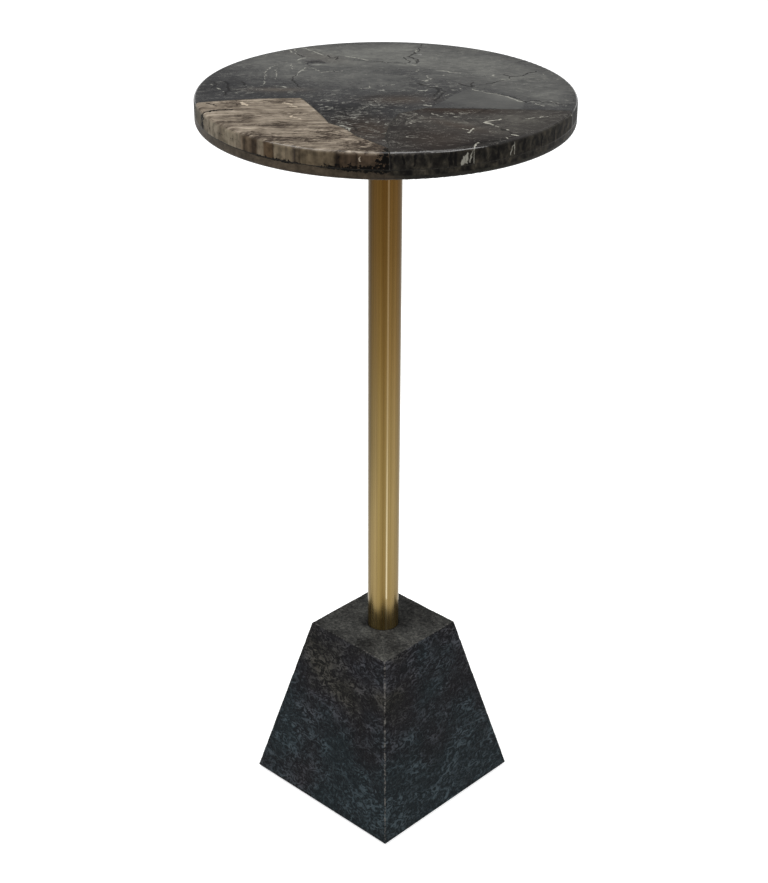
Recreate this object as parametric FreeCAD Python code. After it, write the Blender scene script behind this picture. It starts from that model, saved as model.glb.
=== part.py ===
import FreeCAD, Part
import math
import os

# A drinks table: a round top of pieced stone on a brass tube, clamped down to a tapered block of black stone.
# Millimetres, +Z up. The origin is on the floor under the tube, and X and Y run along the sides of the block.

# Overall
OVERALL_HEIGHT = 601.0
CUT_OVERRUN = 1.0

# Round top: slabs bedded in black resin on a backing disc, sawn and polished as one
TOP_DIAMETER = 275.0
FACING_THICKNESS = 11.7
BEDDING_THICKNESS = 0.5
BACKING_THICKNESS = 7.3
JOINT_WIDTH = 0.8
FACING_ARRIS = 3.0
BACKING_ARRIS = 3.0

# Joints between the slabs, as shares of the top's radius, before the whole figure is turned to its place.
# The ends and the front corner lie outside the rim, so that each joint runs right through it.
FIGURE_TURN = 43.6
BUFF_JOINT_SHARES = [
    (-1.080, -0.244), (-0.809, -0.170), (-0.636, -0.138), (-0.439, -0.123), (-0.426, -0.144),
    (-0.369, -0.286), (-0.317, -0.427), (-0.282, -0.542), (-0.205, -0.622), (-0.137, -0.754),
    (-0.059, -0.842), (0.018, -0.939), (0.021, -1.080),
]
BUFF_CORNER_SHARE = (-1.080, -1.080)
FRONT_JOINT_SHARES = [
    (1.080, -0.330), (0.586, -0.298), (0.207, -0.286), (0.069, -0.382),
    (0.018, -0.576), (0.000, -0.754), (0.018, -0.939),
]
FRONT_CORNER_SHARE = (1.080, -1.080)

# Threaded inserts set in resin in the underside of the top
INSERT_DIAMETER = 10.0
INSERT_LENGTH = 10.0
INSERT_CAP = 1.2
INSERT_RESIN = 0.1
INSERT_END_ROOM = 0.5

# Mounting plate and its countersunk screws
PLATE_DIAMETER = 110.0
PLATE_THICKNESS = 4.0
PLATE_CHAMFER = 0.6
SCREW_CIRCLE = 84.0
SCREW_COUNT = 4
SCREW_FIRST_ANGLE = 45.0
SCREW_DIAMETER = 6.0
SCREW_LENGTH = 12.0
SCREW_HEAD_DIAMETER = 12.0
SCREW_KEY_WIDTH = 4.0
SCREW_KEY_DEPTH = 2.2
SCREW_ROOM = 0.3
THREAD_ROOM = 0.05

# Pole with a turned spigot brazed in its upper end and a tapped plug in its lower end
POLE_DIAMETER = 25.4
POLE_WALL = 1.5
BRAZE_ROOM = 0.1
SPIGOT_LENGTH = 22.0
SPIGOT_CHAMFER = 1.0
TENON_DIAMETER = 14.0
PLUG_LENGTH = 30.0
PLUG_CHAMFER = 1.0
PLUG_THREAD_DEPTH = 24.0

# Base block
BASE_HEIGHT = 146.5
BASE_BOTTOM_SIDE = 152.4
BASE_TOP_SIDE = 84.0
BASE_ARRIS = 0.7
SOCKET_DEPTH = 9.0
SOCKET_ROOM = 0.25
STUD_ROOM = 1.0
COUNTERBORE_DIAMETER = 40.0
COUNTERBORE_DEPTH = 24.0

# Stud, washers and nut that draw the pole down into the base block
STUD_DIAMETER = 10.0
STUD_TAIL = 4.0
STUD_CHAMFER = 1.0
WASHER_DIAMETER = 36.0
WASHER_THICKNESS = 3.0
WASHER_ROOM = 0.3
SPRING_DIAMETER = 18.1
SPRING_THICKNESS = 2.2
SPRING_SPLIT = 1.6
SPRING_SPLIT_ANGLE = 20.0
NUT_WIDTH = 17.0
NUT_HEIGHT = 8.0
NUT_CHAMFER = 1.0

# Rubber feet stuck under the corners of the base block
FOOT_HEIGHT = 2.2
FOOT_DIAMETER = 20.0
FOOT_DRAFT = 0.8
FOOT_CHAMFER = 0.5
FOOT_INSET = 20.0

# Heights of the seats, worked out from the top down and from the floor up
facing_bottom = OVERALL_HEIGHT - FACING_THICKNESS
bedding_bottom = facing_bottom - BEDDING_THICKNESS
backing_bottom = bedding_bottom - BACKING_THICKNESS
plate_bottom = backing_bottom - PLATE_THICKNESS
base_top = FOOT_HEIGHT + BASE_HEIGHT
pole_bottom = base_top - SOCKET_DEPTH
clamp_seat = FOOT_HEIGHT + COUNTERBORE_DEPTH
spring_seat = clamp_seat - WASHER_THICKNESS
nut_seat = spring_seat - SPRING_THICKNESS
nut_bottom = nut_seat - NUT_HEIGHT
pole_bore = POLE_DIAMETER - 2 * POLE_WALL


def point(x, y, z):
    return FreeCAD.Vector(x, y, z)


def cylinder(diameter, bottom, top, x=0.0, y=0.0):
    return Part.makeCylinder(diameter / 2, top - bottom, point(x, y, bottom))


def hexagon(width, bottom, top, x=0.0, y=0.0):
    """Six-sided prism, width measured across its flats."""
    corner = width / math.sqrt(3)
    turns = [math.radians(60 * step) for step in range(7)]
    ring = [point(x + corner * math.cos(turn), y + corner * math.sin(turn), bottom) for turn in turns]
    return Part.Face(Part.makePolygon(ring)).extrude(point(0, 0, top - bottom))


def edges_at(shape, height):
    """The edges that lie wholly at one height."""
    level = Part.Precision.confusion()
    found = []
    for edge in shape.Edges:
        box = edge.BoundBox
        if abs(box.ZMin - height) < level and abs(box.ZMax - height) < level:
            found.append(edge)
    return found


def screw_places():
    """Centres of the screws and inserts on their circle."""
    for step in range(SCREW_COUNT):
        turn = math.radians(SCREW_FIRST_ANGLE + 360 * step / SCREW_COUNT)
        yield SCREW_CIRCLE / 2 * math.cos(turn), SCREW_CIRCLE / 2 * math.sin(turn)


def figure_points(shares):
    """Points of the stone's figure at the height of the facing's underside, turned to their place."""
    radius = TOP_DIAMETER / 2
    turn = FreeCAD.Rotation(point(0, 0, 1), FIGURE_TURN)
    return [turn.multVec(point(radius * x, radius * y, 0)) + point(0, 0, facing_bottom) for x, y in shares]


def figure_prism(outline):
    """Everything inside an outline of the figure, through the thickness of the facing."""
    points = figure_points(outline)
    return Part.Face(Part.makePolygon(points + points[:1])).extrude(point(0, 0, FACING_THICKNESS))


def joint_web(shares):
    """The resin that fills one joint, of even width along its line."""
    line = Part.makePolygon(figure_points(shares))
    ribbon = line.makeOffset2D(JOINT_WIDTH / 2, join=2, openResult=False)
    return Part.Face(ribbon).extrude(point(0, 0, FACING_THICKNESS))


def insert_holes():
    top = backing_bottom + INSERT_LENGTH + INSERT_END_ROOM
    width = INSERT_DIAMETER + 2 * INSERT_RESIN
    return [cylinder(width, backing_bottom - CUT_OVERRUN, top, x, y) for x, y in screw_places()]


def round_top():
    """The slabs of the facing, the resin round and under them, and the backing disc."""
    holes = insert_holes()
    facing = cylinder(TOP_DIAMETER, facing_bottom, OVERALL_HEIGHT)
    facing = facing.makeFillet(FACING_ARRIS, edges_at(facing, OVERALL_HEIGHT)).cut(holes)
    bedding = cylinder(TOP_DIAMETER, bedding_bottom, facing_bottom).cut(holes)
    backing = cylinder(TOP_DIAMETER, backing_bottom, bedding_bottom)
    backing = backing.makeFillet(BACKING_ARRIS, edges_at(backing, backing_bottom)).cut(holes)

    buff_side = figure_prism(BUFF_JOINT_SHARES + [BUFF_CORNER_SHARE])
    front_side = figure_prism(FRONT_JOINT_SHARES + [BUFF_JOINT_SHARES[-1], FRONT_CORNER_SHARE])
    webs = joint_web(BUFF_JOINT_SHARES).fuse(joint_web(FRONT_JOINT_SHARES))
    stone = facing.cut(webs)
    return {
        "facing_buff": stone.common(buff_side),
        "facing_front": stone.common(front_side),
        "facing_rear": stone.cut([buff_side, front_side]),
        "bedding_resin": bedding.fuse(facing.common(webs)).removeSplitter(),
        "backing_disc": backing,
    }


def threaded_insert(x, y):
    """Turned brass insert, closed at its inner end, flush with the underside of the top."""
    top = backing_bottom + INSERT_LENGTH
    bore = cylinder(SCREW_DIAMETER + 2 * THREAD_ROOM, backing_bottom - CUT_OVERRUN, top - INSERT_CAP, x, y)
    return cylinder(INSERT_DIAMETER, backing_bottom, top, x, y).cut(bore)


def screw_cone(room, x, y):
    """Countersunk head, flush with the plate's underside. Its flanks are at 45 degrees."""
    height = (SCREW_HEAD_DIAMETER - SCREW_DIAMETER) / 2
    wide = SCREW_HEAD_DIAMETER / 2 + room
    return Part.makeCone(wide, SCREW_DIAMETER / 2 + room, height, point(x, y, plate_bottom))


def plate_screw(x, y):
    key_top = plate_bottom + SCREW_KEY_DEPTH
    shank = cylinder(SCREW_DIAMETER, plate_bottom, plate_bottom + SCREW_LENGTH, x, y)
    key = hexagon(SCREW_KEY_WIDTH, plate_bottom - CUT_OVERRUN, key_top, x, y)
    return shank.fuse(screw_cone(0, x, y)).cut(key).removeSplitter()


def mounting_plate():
    """Steel disc under the top, countersunk from below, with a hole for the spigot's tenon."""
    plate = cylinder(PLATE_DIAMETER, plate_bottom, backing_bottom)
    plate = plate.makeChamfer(PLATE_CHAMFER, edges_at(plate, plate_bottom))
    cut_bottom = plate_bottom - CUT_OVERRUN
    cut_top = backing_bottom + CUT_OVERRUN
    cuts = [cylinder(TENON_DIAMETER + 2 * BRAZE_ROOM, cut_bottom, cut_top)]
    for x, y in screw_places():
        cuts.append(cylinder(SCREW_DIAMETER + 2 * SCREW_ROOM, cut_bottom, cut_top, x, y))
        cuts.append(screw_cone(SCREW_ROOM, x, y))
    return plate.cut(cuts)


def pole_spigot():
    """Turned plug inside the pole's upper end, with a tenon that is brazed into the plate."""
    bottom = plate_bottom - SPIGOT_LENGTH
    body = cylinder(pole_bore - 2 * BRAZE_ROOM, bottom, plate_bottom)
    body = body.makeChamfer(SPIGOT_CHAMFER, edges_at(body, bottom))
    return body.fuse(cylinder(TENON_DIAMETER, plate_bottom, backing_bottom)).removeSplitter()


def pole():
    tube = cylinder(POLE_DIAMETER, pole_bottom, plate_bottom)
    return tube.cut(cylinder(pole_bore, pole_bottom - CUT_OVERRUN, plate_bottom + CUT_OVERRUN))


def pole_plug():
    """Turned plug flush with the pole's lower end, tapped from below for the stud."""
    top = pole_bottom + PLUG_LENGTH
    body = cylinder(pole_bore - 2 * BRAZE_ROOM, pole_bottom, top)
    body = body.makeChamfer(PLUG_CHAMFER, edges_at(body, top))
    thread_top = pole_bottom + PLUG_THREAD_DEPTH
    return body.cut(cylinder(STUD_DIAMETER + 2 * THREAD_ROOM, pole_bottom - CUT_OVERRUN, thread_top))


def base_block():
    """Tapered square block with eased arrises, a socket for the pole, a bore for the stud and a counterbore."""
    low = BASE_BOTTOM_SIDE / 2
    high = BASE_TOP_SIDE / 2
    block = Part.makeWedge(-low, 0, -low, -high, -high, low, BASE_HEIGHT, low, high, high)
    block.rotate(point(0, 0, 0), point(1, 0, 0), 90)
    block.translate(point(0, 0, FOOT_HEIGHT))
    block = block.makeChamfer(BASE_ARRIS, block.Edges)
    socket = cylinder(POLE_DIAMETER + 2 * SOCKET_ROOM, pole_bottom, base_top + CUT_OVERRUN)
    bore = cylinder(STUD_DIAMETER + 2 * STUD_ROOM, FOOT_HEIGHT, base_top)
    counterbore = cylinder(COUNTERBORE_DIAMETER, FOOT_HEIGHT - CUT_OVERRUN, clamp_seat)
    return block.cut([socket, bore, counterbore])


def clamp_stud():
    """Threaded rod from the pole's plug down through the base block and the nut."""
    top = pole_bottom + PLUG_THREAD_DEPTH
    bottom = nut_bottom - STUD_TAIL
    rod = cylinder(STUD_DIAMETER, bottom, top)
    return rod.makeChamfer(STUD_CHAMFER, edges_at(rod, bottom) + edges_at(rod, top))


def clamp_washer():
    hole = cylinder(STUD_DIAMETER + 2 * WASHER_ROOM, spring_seat - CUT_OVERRUN, clamp_seat + CUT_OVERRUN)
    return cylinder(WASHER_DIAMETER, spring_seat, clamp_seat).cut(hole)


def spring_washer():
    """Split ring, pressed flat, with its slot cut on the slant."""
    ring = cylinder(SPRING_DIAMETER, nut_seat, spring_seat)
    hole = cylinder(STUD_DIAMETER + 2 * WASHER_ROOM, nut_seat - CUT_OVERRUN, spring_seat + CUT_OVERRUN)
    depth = 2 * SPRING_THICKNESS + 2 * CUT_OVERRUN
    slot = Part.makeBox(SPRING_DIAMETER, SPRING_SPLIT, depth, point(0, -SPRING_SPLIT / 2, -depth / 2))
    slot.rotate(point(0, 0, 0), point(1, 0, 0), SPRING_SPLIT_ANGLE)
    slot.translate(point(0, 0, (nut_seat + spring_seat) / 2))
    return ring.cut([hole, slot])


def clamp_nut():
    """Hexagon nut with the corners of both faces turned off."""
    turned = cylinder(2 * NUT_WIDTH / math.sqrt(3), nut_bottom, nut_seat)
    turned = turned.makeChamfer(NUT_CHAMFER, edges_at(turned, nut_bottom) + edges_at(turned, nut_seat))
    thread = cylinder(STUD_DIAMETER + 2 * THREAD_ROOM, nut_bottom - CUT_OVERRUN, nut_seat + CUT_OVERRUN)
    return turned.common(hexagon(NUT_WIDTH, nut_bottom, nut_seat)).cut(thread)


def rubber_foot(x, y):
    """Moulded stud that narrows to a chamfered lower edge."""
    foot = Part.makeCone(FOOT_DIAMETER / 2 - FOOT_DRAFT, FOOT_DIAMETER / 2, FOOT_HEIGHT, point(x, y, 0))
    return foot.makeChamfer(FOOT_CHAMFER, edges_at(foot, 0))


def foot_places():
    offset = BASE_BOTTOM_SIDE / 2 - FOOT_INSET
    return [(x, y) for x in (-offset, offset) for y in (-offset, offset)]


parts = round_top()
parts["threaded_inserts"] = Part.makeCompound([threaded_insert(x, y) for x, y in screw_places()])
parts["mounting_plate"] = mounting_plate()
parts["plate_screws"] = Part.makeCompound([plate_screw(x, y) for x, y in screw_places()])
parts["pole_spigot"] = pole_spigot()
parts["pole"] = pole()
parts["pole_plug"] = pole_plug()
parts["base_block"] = base_block()
parts["clamp_stud"] = clamp_stud()
parts["clamp_washer"] = clamp_washer()
parts["spring_washer"] = spring_washer()
parts["clamp_nut"] = clamp_nut()
parts["rubber_feet"] = Part.makeCompound([rubber_foot(x, y) for x, y in foot_places()])

os.makedirs("parts", exist_ok=True)
for name, shape in parts.items():
    if not shape.isValid():
        raise ValueError(name + " is not a valid solid")
    shape.exportStep("parts/" + name + ".step")
    print(name, len(shape.Solids), "solids", round(shape.Volume), "mm3")
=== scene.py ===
import math

import bmesh
import bpy
import numpy as np
from mathutils import Matrix, Vector, noise


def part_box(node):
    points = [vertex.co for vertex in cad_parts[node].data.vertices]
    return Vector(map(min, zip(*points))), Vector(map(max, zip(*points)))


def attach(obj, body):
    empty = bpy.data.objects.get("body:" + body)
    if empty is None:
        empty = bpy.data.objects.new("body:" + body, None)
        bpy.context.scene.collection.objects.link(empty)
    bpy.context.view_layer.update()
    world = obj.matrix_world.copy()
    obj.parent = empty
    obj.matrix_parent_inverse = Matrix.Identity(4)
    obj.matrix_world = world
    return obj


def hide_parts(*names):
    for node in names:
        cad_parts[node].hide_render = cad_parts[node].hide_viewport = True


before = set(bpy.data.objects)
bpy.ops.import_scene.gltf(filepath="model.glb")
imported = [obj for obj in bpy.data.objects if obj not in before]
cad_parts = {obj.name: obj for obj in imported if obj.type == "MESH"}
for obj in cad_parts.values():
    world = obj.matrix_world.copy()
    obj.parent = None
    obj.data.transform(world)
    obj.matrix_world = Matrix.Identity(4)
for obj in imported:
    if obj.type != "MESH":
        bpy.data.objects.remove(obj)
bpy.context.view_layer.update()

# Base block: a square block of black marble, sawn to a taper. The sides are leathered with wire brushes,
# the top is honed, and handling has worn and chipped the arrises. The pole stands in a socket in its top.
MM = 0.001
MERGE_REACH = MM / 1000
TOUCH_REACH = MM / 10
SHARP_ANGLE = math.radians(35)
FLAT_ANGLE = math.radians(0.1)
FACING_UP = 0.9
BLOCK_STEP = 2.0 * MM
RELIEF_DEPTH = 0.35 * MM
RELIEF_SIZE = 9.0 * MM
RELIEF_FALL = 0.7
RELIEF_GAP = 2.1
RELIEF_LAYERS = 5
HONED_DEPTH = 0.06 * MM
CHIP_DEPTH = 0.7 * MM
CHIP_REACH = 1.8 * MM
CHIP_SIZE = 6.0 * MM
WEAR_REACH = 1.6 * MM
# How worn the upright arrises are, at some heights in millimetres, and the most that the level ones are.
UPRIGHT_WEAR = 1.45
WEAR_HEIGHTS = [0, 45, 130, 150]
WEAR_SHARES = [0.82, 0.94, 0.94, 0.84]
LEVEL_WEAR = 1.1
LEVEL_WEAR_MOST = 0.85
SOCKET_REACH = 21.0 * MM
# Where the brushes bit harder or lighter, on the two near sides and on top: a place and its half width, in
# millimetres, and how much.
BRUSHING = [
    (-12, -53, 103, 14, 1.5), (-39, -48, 125, 10, 0.4), (29, -45, 136, 12, 0.5), (11, -62, 63, 22, -1.0),
    (-42, -65, 51, 22, 0.5), (53, -70, 29, 18, 0.45), (-48, -55, 94, 12, -0.6), (45, 5, 139, 16, 0.6),
    (52, -34, 109, 20, -0.8), (65, 35, 52, 12, 0.9), (69, 62, 33, 14, 0.7), (73, 2, 19, 18, 1.3),
    (72, -62, 22, 15, 1.6), (56, 49, 92, 16, -0.9), (62, -12, 63, 16, -0.4), (-26, -36, 150, 20, 0.8),
    (27, -26, 150, 16, -0.4)]
BRUSHING_SHARE = 0.13
# Where the stone is browner, below zero, or bluer, in the same way.
TINTING = [
    (14, -52, 112, 40, -0.1), (-55, -60, 80, 26, 0.12), (10, -66, 50, 26, 0.07), (54, -38, 108, 26, -0.03),
    (45, 5, 138, 16, 0.08), (62, 40, 60, 30, 0.06)]
PALE_FLECK = Vector((25, -11, 150.5)) * MM
FLECK_REACH = 2.2 * MM
block_floor, block_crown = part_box("base_block")


def linear(code):
    """An sRGB hex value as linear red, green, blue and alpha."""
    shares = [int(code[place:place + 2], 16) / 255 for place in (0, 2, 4)]
    return [s / 12.92 if s <= 0.04045 else ((s + 0.055) / 1.055) ** 2.4 for s in shares] + [1.0]


def connect(tree, node, inputs):
    """Sets a node's inputs. Each takes a value, the socket that feeds it, or a node: its first output."""
    for name, value in inputs.items():
        if isinstance(value, bpy.types.Node):
            value = value.outputs[0]
        if isinstance(value, bpy.types.NodeSocket):
            tree.links.new(value, node.inputs[name])
        else:
            node.inputs[name].default_value = value


def add(tree, kind, inputs=None, stops=(), **settings):
    """Adds one node with its settings and inputs and, for a ramp, its stops: a share and a colour each."""
    made = tree.nodes.new(kind)
    for name, value in settings.items():
        setattr(made, name, value)
    connect(tree, made, inputs or {})
    for place, (share, colour) in enumerate(stops):
        ramp = made.color_ramp.elements
        stop = ramp[place] if place < 2 else ramp.new(share)
        stop.position = share
        stop.color = linear(colour)
    return made


def new_finish(name):
    """A new material, its tree, its shader and the piece's own coordinates."""
    made = bpy.data.materials.new(name)
    made.use_nodes = True
    tree = made.node_tree
    return made, tree, tree.nodes["Principled BSDF"], add(tree, "ShaderNodeTexCoord").outputs["Object"]


def copy_of(node):
    """A merged copy of a node's mesh, to be worked on."""
    work = bmesh.new()
    work.from_mesh(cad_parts[node].data)
    bmesh.ops.remove_doubles(work, verts=work.verts, dist=MERGE_REACH)
    return work


def slice_along(work, axis, step, faces):
    """Cuts some faces by even planes across one axis, for points that carry relief and figure."""
    places = [corner.co[axis] for corner in work.verts]
    low, high = min(places), max(places)
    across = Vector([float(axis == other) for other in range(3)])
    count = max(1, round((high - low) / step))
    rest = faces
    for turn in range(1, count):
        cut = low + (high - low) * turn / count
        edges = list(dict.fromkeys(edge for face in rest for edge in face.edges))
        corners = list(dict.fromkeys(corner for edge in edges for corner in edge.verts))
        made = bmesh.ops.bisect_plane(
            work, geom=corners + edges + rest, plane_co=across * cut, plane_no=across)
        parts = [part for part in made["geom"] if isinstance(part, bmesh.types.BMFace)]
        rest = [face for face in parts if face.calc_center_median()[axis] > cut]


def piece_from(work, name, material):
    """Turns a worked mesh into a piece, smooth except across its sharp edges."""
    for face in work.faces:
        face.smooth = True
    work.normal_update()
    for edge in work.edges:
        edge.smooth = len(edge.link_faces) == 2 and edge.calc_face_angle(math.pi) < SHARP_ANGLE
    mesh = bpy.data.meshes.new(name)
    work.to_mesh(mesh)
    work.free()
    mesh.materials.append(material)
    piece = bpy.data.objects.new(name, mesh)
    bpy.context.scene.collection.objects.link(piece)
    return piece


def carry(piece, name, values):
    """Gives a piece one value for each of its points, for its material to read."""
    layer = piece.data.attributes.new(name, "FLOAT", "POINT")
    layer.data.foreach_set("value", np.asarray(values, np.float32))


def stand_in(piece, slot, *nodes):
    """Puts a finished piece in the place of one or more CAD nodes."""
    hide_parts(*nodes)
    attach(piece, "root")


def distance_to_line(places, line):
    """Shortest distance from each place to a line of points, in two or three dimensions."""
    nearest = np.full(len(places), np.inf)
    line = np.asarray(line, float)
    for start, end in zip(line[:-1], line[1:]):
        run = end - start
        share = np.clip((places - start) @ run / max(run @ run, 1e-12), 0, 1)
        nearest = np.minimum(nearest, np.linalg.norm(places - start - share[:, None] * run, axis=1))
    return nearest


# Leathered black marble: a ground between brown-black and blue-black, short grey brush marks with painted
# glints of light on them as fine grey speckles, and pale crushed stone along the arrises. The honed top is
# smoother and a warmer grey.
leathered_marble, tree, shader, place = new_finish("leathered_black_marble")
carried = {key: add(tree, "ShaderNodeAttribute", attribute_name=key).outputs["Fac"]
           for key in ("tinting", "brushing", "honed", "wear")}
cloud = add(tree, "ShaderNodeTexNoise", {"Vector": place, "Scale": 1 / (40 * MM), "Detail": 3.0})
side = add(tree, "ShaderNodeSeparateXYZ", {"Vector": place}).outputs
rise = add(tree, "ShaderNodeMapRange", {
    "Value": side["Z"], "From Max": block_crown.z, "To Min": 0.36, "To Max": 0.2})
lean = add(tree, "ShaderNodeMapRange", {
    "Value": side["X"], "From Min": block_floor.x, "From Max": block_crown.x, "To Min": -0.05,
    "To Max": 0.07})
cloud = add(tree, "ShaderNodeMath", {0: cloud, 1: 0.5, 2: rise}, operation="MULTIPLY_ADD")
for part in (lean, carried["tinting"]):
    cloud = add(tree, "ShaderNodeMath", {0: cloud, 1: part}, operation="ADD")
brushed = add(tree, "ShaderNodeMapping", {
    "Vector": place, "Rotation": (0.5, 0.35, 0.78), "Scale": (1.0, 1.0, 1.7)})
strokes = add(tree, "ShaderNodeTexNoise", {
    "Vector": brushed, "Scale": 1 / (7.5 * MM), "Detail": 3.5, "Roughness": 0.6, "Distortion": 1.8})
speckle = add(tree, "ShaderNodeTexNoise", {
    "Vector": place, "Scale": 1 / (2.4 * MM), "Detail": 3.0, "Roughness": 0.65, "Distortion": 0.8})
drift = add(tree, "ShaderNodeTexNoise", {"Vector": brushed, "Scale": 1 / (21 * MM), "Detail": 4.0})
drift = add(tree, "ShaderNodeMath", {
    0: carried["brushing"], 1: BRUSHING_SHARE, 2: drift}, operation="MULTIPLY_ADD")
ground = add(tree, "ShaderNodeValToRGB", {"Fac": cloud}, stops=[
    (0.36, "0d0d0b"), (0.66, "10171a"), (0.47, "0d0c0f"), (0.56, "0c0f12")])
mark_tint = add(tree, "ShaderNodeValToRGB", {"Fac": cloud}, stops=[
    (0.40, "44423d"), (0.62, "3c474c"), (0.49, "424348")])
mark_level = add(tree, "ShaderNodeMapRange", {
    "Value": drift, "From Min": 0.38, "From Max": 0.64, "To Min": 0.08, "To Max": 0.95})
marks = add(tree, "ShaderNodeMapRange", {
    "Value": strokes, "From Min": 0.48, "From Max": 0.6, "To Max": mark_level})
marked = add(tree, "ShaderNodeMixRGB", {"Fac": marks, "Color1": ground, "Color2": mark_tint})
# Painted glints: fine speckles lightened towards the mark colour, standing in for light caught on the
# relief.
painted_glints = add(tree, "ShaderNodeMapRange", {
    "Value": speckle, "From Min": 0.56, "From Max": 0.7, "To Max": 0.6})
sides = add(tree, "ShaderNodeMixRGB", {"Fac": painted_glints, "Color1": marked, "Color2": mark_tint})
honed_tone = add(tree, "ShaderNodeMath", {0: drift, 1: 0.8, 2: speckle}, operation="MULTIPLY_ADD")
honed_tone = add(tree, "ShaderNodeMapRange", {"Value": honed_tone, "From Min": 0.62, "From Max": 1.18})
honed_tone = add(tree, "ShaderNodeValToRGB", {"Fac": honed_tone}, stops=[
    (0.0, "0e0e0d"), (1.0, "545450"), (0.35, "282827"), (0.6, "373735")])
stone = add(tree, "ShaderNodeMixRGB", {"Fac": carried["honed"], "Color1": sides, "Color2": honed_tone})
crumbs = add(tree, "ShaderNodeMath", {0: carried["wear"], 1: speckle}, operation="MULTIPLY")
crumbs = add(tree, "ShaderNodeMapRange", {
    "Value": crumbs, "From Min": 0.4, "From Max": 0.56, "To Max": 0.75})
worn = add(tree, "ShaderNodeMixRGB", {"Fac": crumbs, "Color1": stone, "Color2": linear("6a6763")})
rubbed_and_painted_highlight = add(tree, "ShaderNodeMapRange", {
    "Value": strokes, "From Min": 0.3, "From Max": 0.8, "To Min": 0.6, "To Max": 0.4})
grit = add(tree, "ShaderNodeMath", {0: strokes, 1: speckle}, operation="ADD")
grit_share = add(tree, "ShaderNodeMapRange", {"Value": carried["honed"], "To Min": 0.6, "To Max": 0.12})
relief = add(tree, "ShaderNodeBump", {"Height": grit, "Strength": grit_share, "Distance": 1.6 * MM})
connect(tree, shader, {
    "Base Color": worn, "Roughness": rubbed_and_painted_highlight, "Specular IOR Level": 0.06, "Normal": relief})

work = copy_of("base_block")
bmesh.ops.dissolve_limit(work, angle_limit=FLAT_ANGLE, verts=work.verts, edges=work.edges)
for axis in (2, 0, 1):
    slice_along(work, axis, BLOCK_STEP, work.faces[:])
work.normal_update()
foot_half = block_crown.x
crown_half = max(abs(corner.co.x) for corner in work.verts if corner.co.z > block_crown.z - TOUCH_REACH)
ring = [(1, -1), (1, 1), (-1, 1), (-1, -1), (1, -1)]
foot_ring = [(x * foot_half, y * foot_half, block_floor.z) for x, y in ring]
crown_ring = [(x * crown_half, y * crown_half, block_crown.z) for x, y in ring]
upright = [[low, high] for low, high in zip(foot_ring[:4], crown_ring[:4])]
places = np.array([corner.co for corner in work.verts])
upright_reach = np.min([distance_to_line(places, line) for line in upright], axis=0)
level_reach = np.min([distance_to_line(places, line) for line in (foot_ring, crown_ring)], axis=0)
edge_reach = np.minimum(upright_reach, level_reach)
honed_share = [float(corner.normal.z > FACING_UP) for corner in work.verts]
for corner, reach, is_honed in zip(work.verts, edge_reach, honed_share):
    near_socket = math.hypot(corner.co.x, corner.co.y) < SOCKET_REACH
    if corner.co.z < block_floor.z + TOUCH_REACH or near_socket:
        continue
    lumps = 0.5 + 0.5 * noise.fractal(corner.co / RELIEF_SIZE, RELIEF_FALL, RELIEF_GAP, RELIEF_LAYERS)
    depth = min(max(lumps, 0.0), 1.0) * (HONED_DEPTH if is_honed else RELIEF_DEPTH)
    depth *= min(1.0, reach / CHIP_REACH)
    bite = noise.noise(corner.co / CHIP_SIZE) + 0.5 * noise.noise(3 * corner.co / CHIP_SIZE)
    depth += CHIP_DEPTH * max(0.0, bite) * max(0.0, 1 - reach / CHIP_REACH)
    corner.co -= corner.normal * depth
block = piece_from(work, "base_block_leathered", leathered_marble)
carry(block, "honed", honed_share)
upright_wear = np.clip(UPRIGHT_WEAR - upright_reach / WEAR_REACH, 0, 1)
upright_wear *= np.interp(places[:, 2] / MM, WEAR_HEIGHTS, WEAR_SHARES)
level_wear = np.clip(LEVEL_WEAR - level_reach / WEAR_REACH, 0, LEVEL_WEAR_MOST)
wear = np.maximum(upright_wear, level_wear)
fleck_reach = np.linalg.norm(places - np.array(PALE_FLECK), axis=1)
carry(block, "wear", np.maximum(wear, np.clip(2 - 2 * fleck_reach / FLECK_REACH, 0, 1)))
for name, patches in (("brushing", BRUSHING), ("tinting", TINTING)):
    field = np.zeros(len(places))
    for x, y, z, spread, amount in patches:
        field += amount * np.exp(-(np.linalg.norm(places / MM - (x, y, z), axis=1) / spread) ** 2)
    carry(block, name, field)
stand_in(block, "base_stone", "base_block")

# Rubber feet: four black moulded studs, stuck under the corners of the block so that the stone stands
# clear of the floor. Each narrows downwards and has a raised bead round its tread.
FOOT_SIDES = 48
FOOT_RADIUS = 10.0 * MM
FOOT_DRAFT = 0.8 * MM
FOOT_BEAD = 0.5 * MM
foot_floor, foot_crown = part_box("rubber_feet")

# Moulded rubber: near black and matt, with a fine cloudy bloom.
moulded_rubber, tree, shader, place = new_finish("moulded_black_rubber")
bloom = add(tree, "ShaderNodeTexNoise", {"Vector": place, "Scale": 1 / (3 * MM), "Detail": 5.0})
black = add(tree, "ShaderNodeValToRGB", {"Fac": bloom}, stops=[(0.35, "121212"), (0.7, "242423")])
skin = add(tree, "ShaderNodeBump", {"Height": bloom, "Strength": 0.2, "Distance": 0.2 * MM})
connect(tree, shader, {"Base Color": black, "Roughness": 0.8, "Specular IOR Level": 0.2, "Normal": skin})


def new_tree(name, sizes):
    """A node tree with named sizes as its inputs."""
    group = bpy.data.node_groups.new(name, "GeometryNodeTree")
    for size in sizes:
        group.interface.new_socket(size, in_out="INPUT", socket_type="NodeSocketFloat")
    group.interface.new_socket("Geometry", in_out="OUTPUT", socket_type="NodeSocketGeometry")
    return group, add(group, "NodeGroupInput").outputs, add(group, "NodeGroupOutput")


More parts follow.
